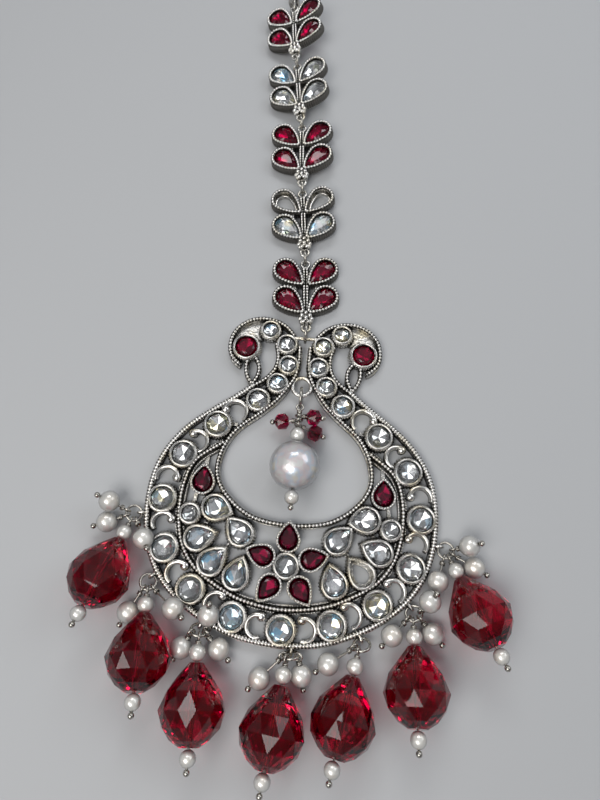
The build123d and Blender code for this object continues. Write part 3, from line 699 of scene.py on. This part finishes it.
lipLook = {
    "wire": 0.18, "round step": 0.34, "pear step": 0.3, "round points": 48, "wall points": 64,
    # ribbed wall under the lip: step is the spacing of its points, gap how far it stands off
    "ribs per mm": 1.9, "rib depth": 0.14, "rib low": 0.95, "rib high": 2.15,
    "rib flare": 0.34, "rib step": 0.12, "rib gap": 0.01, "foot edge": 0.08, "top edge": 0.05,
    "grain radius": 0.29, "grain pitch": 0.58, "grain waist": 0.15,
}


# Knurled wall between two heights: the outline pushed out by the rib depth times the cosine
# squared of the way along it, one wave for each rib, and by the flare at the foot.
def ribbedWall(outline, low, high, flare):
    even, step = evenPath(outline, lipLook["rib step"], True)
    normal = rightOf(even, True)
    run = np.arange(len(even)) / len(even)
    ribs = round(len(even) * step * lipLook["ribs per mm"])
    wave = lipLook["rib depth"] * np.cos(np.pi * ribs * run)**2 + lipLook["rib gap"]
    pushed = even + normal * wave[:, None]
    foot = pushed + normal * (flare + wave[:, None])
    levels = [(even, low), (foot, low + lipLook["foot edge"]),
              ((foot + pushed) / 2, (low + high) / 2), (pushed, high - lipLook["top edge"]),
              (even, high)]
    rows = [np.column_stack([place, np.full(len(even), height)]) for place, height in levels]
    return np.vstack(rows), gridFaces(len(rows), len(even), False, True)[:, ::-1]


lipParts, grainParts = [], []


def addLip(middle, outer, step):
    lipParts.append(plainTube(middle, bezelLook["height"], lipLook["wire"], True, step=step))
    lipParts.append(ribbedWall(outer, lipLook["rib low"], lipLook["rib high"],
                               lipLook["rib flare"]))


for kind, x, y, radius in roundPlaces:
    middle = circleOutline(radius - bezelLook["wall"] / 2, lipLook["round points"]) + (x, y)
    outer = circleOutline(radius, lipLook["wall points"]) + (x, y)
    addLip(middle, outer, lipLook["round step"])
for kind, x, y, turn, length, width in pearPlaces:
    middle = placed(pearOutline(length, width, bezelLook["wall"] / 2), x, y, turn)
    outer = placed(pearOutline(length, width, 0.0), x, y, turn)
    if kind == "field":
        addLip(middle, outer, lipLook["pear step"])
    else:
        grainParts.append(beadedTube(middle, bezelLook["height"], lipLook["grain radius"],
                                     lipLook["grain pitch"], lipLook["grain waist"], True))
        shadeParts.append(shadeStrip(middle, bezelLook["height"] + edgeLook["petal bed rise"],
                                 edgeLook["petal bed"], True))
silverPiece("setting_lips", lipParts, wornSilver)
silverPiece("petal_lips", grainParts, beadSilver)

print("stage: scroll hooks")
hookLook = {
    "height": 1.60, "tail": 0.28, "body": 0.52, "points": 28, "sides": 8,
    # ball at the head of a hook: radius, half thickness, height, and how far inside the arc
    "ball": 0.92, "ball thickness": 0.75, "ball height": 1.35, "ball inset": 0.2,
}
hookParts = []
for x, y, radius, start, sweepAngle in scrollHooks:
    for side in (1, -1):
        first = start if side > 0 else 180 - start
        way = np.linspace(0, 1, hookLook["points"])
        angle = np.radians(first + side * sweepAngle * way)
        path = np.stack([side * x + radius * np.cos(angle), y + radius * np.sin(angle)], axis=1)
        radii = hookLook["tail"] + (hookLook["body"] - hookLook["tail"]) * np.sqrt(way[::-1])
        hookParts.append(tubePart(path, radii, hookLook["sides"], False, hookLook["height"]))
        inward = (np.array([side * x, y]) - path[0]) / radius
        ballPlace = path[0] + inward * hookLook["ball inset"]
        hookParts.append(ballPart((*ballPlace, hookLook["ball height"]),
                                  (hookLook["ball"], hookLook["ball"],
                                   hookLook["ball thickness"])))
silverPiece("scroll_hooks", hookParts, wornSilver)

print("stage: edging of the leaf links")
leafEdge = {
    # bed and bed rise: radius and rise of the dark strip of painted shade under the beads
    "radius": 0.36, "pitch": 0.68, "waist": 0.10, "rise": 0.12, "bed": 0.36, "bed rise": 0.1,
    # rows of beads on the stem: how far from the middle, their height, radius and ends
    "stem aside": 0.34, "stem height": 1.66, "stem radius": 0.30, "stem ends": (-5.6, 4.5),
    # ribbed outer walls: foot, top and flare
    "wall low": 0.25, "wall high": 1.85, "wall flare": 0.10,
    # bright wire on the ledge of an empty setting
    "ledge inset": 0.95, "ledge height": 0.80, "ledge wire": 0.13,
}
wallParts = []


def leafOutline(inward, x, y, turn):
    return placed(pearOutline(leafLook["length"], leafLook["width"], inward), x, y, turn)


for number, linkFrame in enumerate(leafFrames, start=1):
    parts = []
    for pair, x, y, turn in leafPlaces:
        outline = leafOutline(bezelLook["wall"] / 2, x, y, turn)
        parts.append(beadedTube(outline, leafLook["height"] + leafEdge["rise"],
                                leafEdge["radius"], leafEdge["pitch"], leafEdge["waist"], True))
        bed = shadeStrip(outline, leafLook["height"] + leafEdge["bed rise"], leafEdge["bed"], True)
        shadeParts.append(framedPart(bed, linkFrame))
        wall = ribbedWall(leafOutline(0.0, x, y, turn), leafEdge["wall low"],
                          leafEdge["wall high"], leafEdge["wall flare"])
        wallParts.append(framedPart(wall, linkFrame))
        if leafLook["empty pair"].get(number) == pair:
            ledge = leafOutline(leafEdge["ledge inset"], x, y, turn)
            parts.append(plainTube(ledge, leafEdge["ledge height"], leafEdge["ledge wire"], True))
    for side in (1, -1):
        stem = np.array([(side * leafEdge["stem aside"], y) for y in leafEdge["stem ends"]])
        parts.append(beadedTube(stem, leafEdge["stem height"], leafEdge["stem radius"],
                                leafEdge["pitch"], leafEdge["waist"], False))
        bed = shadeStrip(stem, leafEdge["stem height"], leafEdge["bed"], False)
        shadeParts.append(framedPart(bed, linkFrame))
    for x, y in leafLook["granules"]:
        parts.append(ballPart((x, y, leafLook["granule height"]), (leafLook["granule"],) * 3))
    granuleShade = ballPart(leafLook["granule bed"], leafLook["bed radii"])
    shadeParts.append(framedPart(granuleShade, linkFrame))
    silverPiece(f"leaf_edging_{number}", [framedPart(part, linkFrame) for part in parts],
                beadSilver)
silverPiece("leaf_walls", wallParts, darkSilver)
# dark strips and beds of painted shade under all bead rows and granules
silverPiece("milgrain_shade", shadeParts, paintedShadeSilver)

print("stage: cut stones")
stoneLook = {
    # scales of the rings about the stone's middle, and how far up the stone each lies
    "table": 0.68, "star": 0.86, "girdle low": 0.48, "girdle high": 0.54,
    "star rise": 0.90, "pavilion": 0.80, "pavilion rise": 0.16, "leaf table": 0.48,
    # round stones: corners, and degrees from one to the next; pear stones: where the middle
    # lies, as a part of the length from the centre of the round end
    "round corners": 16, "turn step": 13, "pear middle": 0.18,
}


# Faceted stone: table, star ring, girdle and pavilion ring are copies of the girdle outline
# scaled about its middle, set at their own heights, and joined by triangles. The last ring
# closes on one point below. Returns vertices, faces and which are pavilion.
def cutStone(girdle, pivot, floor, top, table=stoneLook["table"]):
    count = len(girdle)
    low, depth = floor + bezelLook["gap"], top - floor - bezelLook["gap"]

    def ring(outline, scale, rise):
        flat = pivot + scale * (outline - pivot)
        return np.column_stack([flat, np.full(len(outline), low + rise * depth)])

    half = girdle[::2]
    between = 0.5 * (half + np.roll(half, -1, axis=0))
    m = len(half)
    rings = [ring(half, table, 1.0),
             ring(between, stoneLook["star"], stoneLook["star rise"]),
             ring(girdle, 1.0, stoneLook["girdle high"]),
             ring(girdle, 1.0, stoneLook["girdle low"]),
             ring(between, stoneLook["pavilion"], stoneLook["pavilion rise"]),
             np.array([[pivot[0], pivot[1], low]])]
    vertices = np.vstack(rings)
    starts = np.cumsum([0] + [len(points) for points in rings[:-1]])
    tableAt, starAt, girdleAt, lowAt, pavilionAt, culet = starts
    crown, pavilion = [], []
    for i in range(1, m - 1):
        crown.append((tableAt, tableAt + i, tableAt + i + 1))
    for i in range(m):
        before, after = (i - 1) % m, (i + 1) % m
        tip, nextTip = tableAt + i, tableAt + after
        star, lastStar = starAt + i, starAt + before
        corner, mid, nextCorner = (girdleAt + k % count for k in range(2 * i, 2 * i + 3))
        lowCorner, lowMid, lowNext = (lowAt + k % count for k in range(2 * i, 2 * i + 3))
        keel, lastKeel = pavilionAt + i, pavilionAt + before
        crown += [(tip, star, nextTip), (star, corner, mid), (star, mid, nextCorner),
                  (tip, lastStar, corner), (tip, corner, star), (corner, lowCorner, lowMid),
                  (corner, lowMid, mid), (mid, lowMid, lowNext), (mid, lowNext, nextCorner)]
        pavilion += [(keel, lowMid, lowCorner), (keel, lowNext, lowMid),
                     (lastKeel, keel, lowCorner), (culet, keel, lastKeel)]
    faces = np.array(crown + pavilion)
    corner = vertices[faces]
    normal = np.cross(corner[:, 1] - corner[:, 0], corner[:, 2] - corner[:, 0])
    middle = vertices.mean(axis=0)
    inward = np.einsum("ij,ij->i", normal, corner.mean(axis=1) - middle) < 0
    faces[inward] = faces[inward][:, ::-1]
    return vertices, faces, np.array([0] * len(crown) + [1] * len(pavilion))


# glass and foil of each sort of stone, and its slot
stoneSorts = {
    "clear": ([clearGlass, clearFoil], "clear_stone"),
    "ruby": ([rubyGlass, rubyFoil], "ruby_stone"),
    "deep": ([deepGlass, deepFoil], "ruby_stone"),
}


# One piece from several cut stones, standing for the CAD node it replaces.
def stoneObject(name, stones, sort, replaced):
    vertices, faces = joined([(v, f) for v, f, _ in stones])
    kinds = np.concatenate([k for _, _, k in stones])
    materials, slotName = stoneSorts[sort]
    obj = makeObject(name, vertices, faces, materials, False, slotName, kinds)
    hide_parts(replaced)


crownTop = bezelLook["height"] + bezelLook["rise"]
inset = bezelLook["wall"] + bezelLook["gap"]


def roundStones(kind):
    found = []
    for group, x, y, radius in roundPlaces:
        if group == kind:
            girdle = circleOutline(radius - inset, stoneLook["round corners"])
            v, f, k = cutStone(girdle, np.zeros(2), bezelLook["floor"], crownTop)
            found.append((placed(v, x, y, stoneLook["turn step"] * len(found)), f, k))
    return found


# Pear stone about the origin for a setting of this length and width.
def pearStone(length, width, top, table=stoneLook["table"]):
    girdle = pearOutline(length, width, inset, sideSteps=5, roundSteps=8)
    pivot = np.array([stoneLook["pear middle"] * length, 0.0])
    return cutStone(girdle, pivot, bezelLook["floor"], top, table)


def pearStones(kind):
    found = []
    for group, x, y, turn, length, width in pearPlaces:
        if group == kind and (x, y) != emptySetting:
            v, f, k = pearStone(length, width, crownTop)
            found.append((placed(v, x, y, turn), f, k))
    return found


stoneObject("rim_stones", roundStones("rim"), "clear", "rim_round_stones")
stoneObject("neck_stones", roundStones("neck"), "clear", "neck_round_stones")
stoneObject("field_stones", roundStones("field"), "clear", "field_round_stones")
stoneObject("pear_stones", pearStones("field"), "clear", "field_pear_stones")
stoneObject("head_rubies", roundStones("headRuby"), "ruby", "head_ruby_stones")
stoneObject("horn_rubies", pearStones("hornRuby"), "deep", "horn_ruby_stones")
stoneObject("petal_rubies", pearStones("petal"), "deep", "petal_stones")
for number, (linkFrame, (_, _, sort)) in enumerate(zip(leafFrames, leafLinks), start=1):
    found = []
    for pair, x, y, turn in leafPlaces:
        if leafLook["empty pair"].get(number) != pair:
            v, f, k = pearStone(leafLook["length"], leafLook["width"],
                                leafLook["height"] + bezelLook["rise"],
                                stoneLook["leaf table"])
            found.append((inFrame(placed(v, x, y, turn), linkFrame), f, k))
    stoneObject(f"leaf_stones_{number}", found, sort, f"leaf_{sort}_stones_{number}")

print("stage: pearls")


# The closed pieces of a CAD node: for each, its points in mm, and the centres and normals of
# its faces. Faces belong together when they share a corner's place.
def looseParts(node):
    mesh = nodes[node].data
    points = np.empty(len(mesh.vertices) * 3)
    mesh.vertices.foreach_get("co", points)
    points = points.reshape(-1, 3) / mm
    _, shared = np.unique(np.round(points, 4), axis=0, return_inverse=True)
    shared = shared.ravel()
    mesh.calc_loop_triangles()
    triangles = np.empty(len(mesh.loop_triangles) * 3, np.int32)
    mesh.loop_triangles.foreach_get("vertices", triangles)
    triangles = triangles.reshape(-1, 3)
    corners = shared[triangles]
    label = np.arange(shared.max() + 1)
    while True:
        lowest = label[corners].min(axis=1)
        fresh = label.copy()
        for column in range(3):
            np.minimum.at(fresh, corners[:, column], lowest)
        if np.array_equal(fresh, label):
            break
        label = fresh
    parts = []
    faceLabel = label[corners[:, 0]]
    for value in np.unique(faceLabel):
        own = triangles[faceLabel == value]
        corner = points[own]
        normal = np.cross(corner[:, 1] - corner[:, 0], corner[:, 2] - corner[:, 0])
        size = np.linalg.norm(normal, axis=1)
        keep = size > 1e-9
        parts.append((np.unique(corner.reshape(-1, 3).round(5), axis=0),
                      corner.mean(axis=1)[keep], normal[keep] / size[keep][:, None]))
    return parts


pearlShape = {
    "rows": 22, "columns": 30, "bore": 0.34, "uneven": 0.018,
    # parts of the radius: how far the poles are sunk, and how near the middle a face of the
    # drilled solid has to lie to count as a face of its bore
    "sunk": 0.5, "bore reach": 0.9,
}
chance = np.random.default_rng(7)


# Two unit vectors square to the axis and to each other, the first also square to the hint.
def acrossAxis(axis, hint):
    across = np.cross(axis, hint)
    across /= np.linalg.norm(across)
    return across, np.cross(axis, across)


# Pearl: a sphere about the bore's axis, its radius changed by a small part of three slow
# waves in latitude and longitude, and its two poles sunk into the bore.
def pearlSurface(centre, radius, axis):
    across, other = acrossAxis(axis, (0.3, 0.5, 0.81))
    edge = math.asin(pearlShape["bore"] / radius)
    latitude = np.linspace(-np.pi / 2 + edge, np.pi / 2 - edge, pearlShape["rows"])
    longitude = np.linspace(0, 2 * np.pi, pearlShape["columns"], endpoint=False)
    lat, lon = np.meshgrid(latitude, longitude, indexing="ij")
    phase = chance.uniform(0, 2 * np.pi, 3)
    wave = (np.sin(2 * lon + phase[0]) * np.cos(lat) + np.sin(lon + 3 * lat + phase[1])
            + np.sin(3 * lat + phase[2])) / 3
    r = radius * (1 - pearlShape["uneven"] * (1 + wave))
    grid = (r * np.cos(lat) * np.cos(lon))[:, :, None] * across \
        + (r * np.cos(lat) * np.sin(lon))[:, :, None] * other \
        + (r * np.sin(lat))[:, :, None] * axis
    depth = pearlShape["sunk"] * radius
    grid = np.concatenate([grid[:1] + axis * depth, grid, grid[-1:] - axis * depth]) + centre
    return grid.reshape(-1, 3), gridFaces(len(grid), pearlShape["columns"], False, True)[:, ::-1]


# Pearls in the places of a node's drilled ones. Each one's bore axis is the direction that
# the faces near its middle look along least.
def pearlPiece(name, node, material):
    found = []
    for points, centres, normals in looseParts(node):
        low, high = points.min(axis=0), points.max(axis=0)
        centre, radius = (low + high) / 2, (high - low).max() / 2
        distance = np.linalg.norm(centres - centre, axis=1)
        inside = distance < pearlShape["bore reach"] * radius
        spread = normals[inside].T @ normals[inside]
        axis = np.linalg.eigh(spread)[1][:, 0]
        found.append(pearlSurface(centre, radius, axis))
    obj = makeObject(name, *joined(found), [material], True, "pearl")
    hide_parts(node)


for number in range(1, 8):
    pearlPiece(f"pearls_{number}", f"drop_pearls_{number}", smallPearl)
pearlPiece("pearl_large", "centre_pearl", largePearl)
pearlPiece("pearls_centre", "centre_small_pearls", smallPearl)

print("stage: wire coils")
coilLook = {
    "wire": 0.125, "turns": 2.6, "radius": 0.44, "length": 0.62, "rows per turn": 18,
    "sides": 8,
    # from the end of the pin to the middle of its eye, and on to the coil
    "eye": 0.85, "start": 0.78,
    "eye reach": 1.2,    # length of pin at either end in which an eye is looked for
}


# Wrapped wire: a helix about the pin, whose place is the foot plus a part of the axis plus
# the coil's radius turned about it, with a round section across its own course.
def coilSurface(foot, axis, length, turns):
    across, other = acrossAxis(axis, (0.21, 0.37, 0.9))
    way = np.linspace(0, 1, int(coilLook["rows per turn"] * turns))
    angle = 2 * np.pi * turns * way
    outward = np.cos(angle)[:, None] * across + np.sin(angle)[:, None] * other
    path = foot + axis * (length * way)[:, None] + outward * coilLook["radius"]
    section = np.linspace(0, 2 * np.pi, coilLook["sides"], endpoint=False)
    rows = path[:, None, :] + coilLook["wire"] * (
        np.cos(section)[None, :, None] * outward[:, None, :]
        + np.sin(section)[None, :, None] * axis)
    return rows.reshape(-1, 3), gridFaces(len(path), coilLook["sides"], False, True)


# Eye's end and direction of each pin: its long axis is the way its points spread most, and
# the end whose points reach farther from that axis is the eye.
def pinAxes(node):
    found = []
    for points, _, _ in looseParts(node):
        middle = points.mean(axis=0)
        axis = np.linalg.eigh((points - middle).T @ (points - middle))[1][:, -1]
        along = (points - middle) @ axis
        away = np.linalg.norm(points - middle - along[:, None] * axis, axis=1)
        lowReach = away[along < along.min() + coilLook["eye reach"]].max()
        highReach = away[along > along.max() - coilLook["eye reach"]].max()
        if lowReach < highReach:
            axis, along = -axis, -along
        found.append((middle + axis * along.min(), axis))
    return found


for number in (*range(1, 8), "centre"):
    node = "centre_pins" if number == "centre" else f"drop_pins_{number}"
    coils = [coilSurface(end + axis * (coilLook["eye"] + coilLook["start"]), axis,
                         coilLook["length"], coilLook["turns"]) for end, axis in pinAxes(node)]
    silverPiece(f"coils_{number}", coils, wireSilver, "silver_wire")

print("stage: materials of the kept nodes")


def finish(node, material, slotName):
    mesh = nodes[node].data
    mesh.materials.clear()
    mesh.materials.append(material)


finish("crescent_setting", settingSilver, "silver_setting")
for number in range(1, 6):
    finish(f"leaf_link_{number}", castSilver, "silver_setting")
for node in ("leaf_rings", "chain_links", "hair_hook", "centre_ring", "centre_pins"):
    finish(node, wireSilver, "silver_wire")
for number in range(1, 8):
    finish(f"drop_ring_{number}", wireSilver, "silver_wire")
    finish(f"drop_pins_{number}", wireSilver, "silver_wire")
    finish(f"drop_bead_{number}", redGlass, "red_glass")
finish("centre_red_beads", wineGlass, "red_glass")

print("stage: floor")
# Sizes and places of the floor are in metres.
floorLook = {"size": 0.7, "place": (0, 0.05, -0.00005), "colour": (0.47, 0.48, 0.49),
             "roughness": 0.8}
floorMaterial, *_ = newMaterial("floor", Base_Color=(*floorLook["colour"], 1),
                                Roughness=floorLook["roughness"])
floorMesh = bpy.data.meshes.new("floor")
reach = floorLook["size"] / 2
floorMesh.from_pydata([(-reach, -reach, 0), (reach, -reach, 0), (reach, reach, 0),
                       (-reach, reach, 0)], [], [(0, 1, 2, 3)])
floorMesh.materials.append(floorMaterial)
floorObject = bpy.data.objects.new("floor", floorMesh)
bpy.context.scene.collection.objects.link(floorObject)
floorObject.location = floorLook["place"]
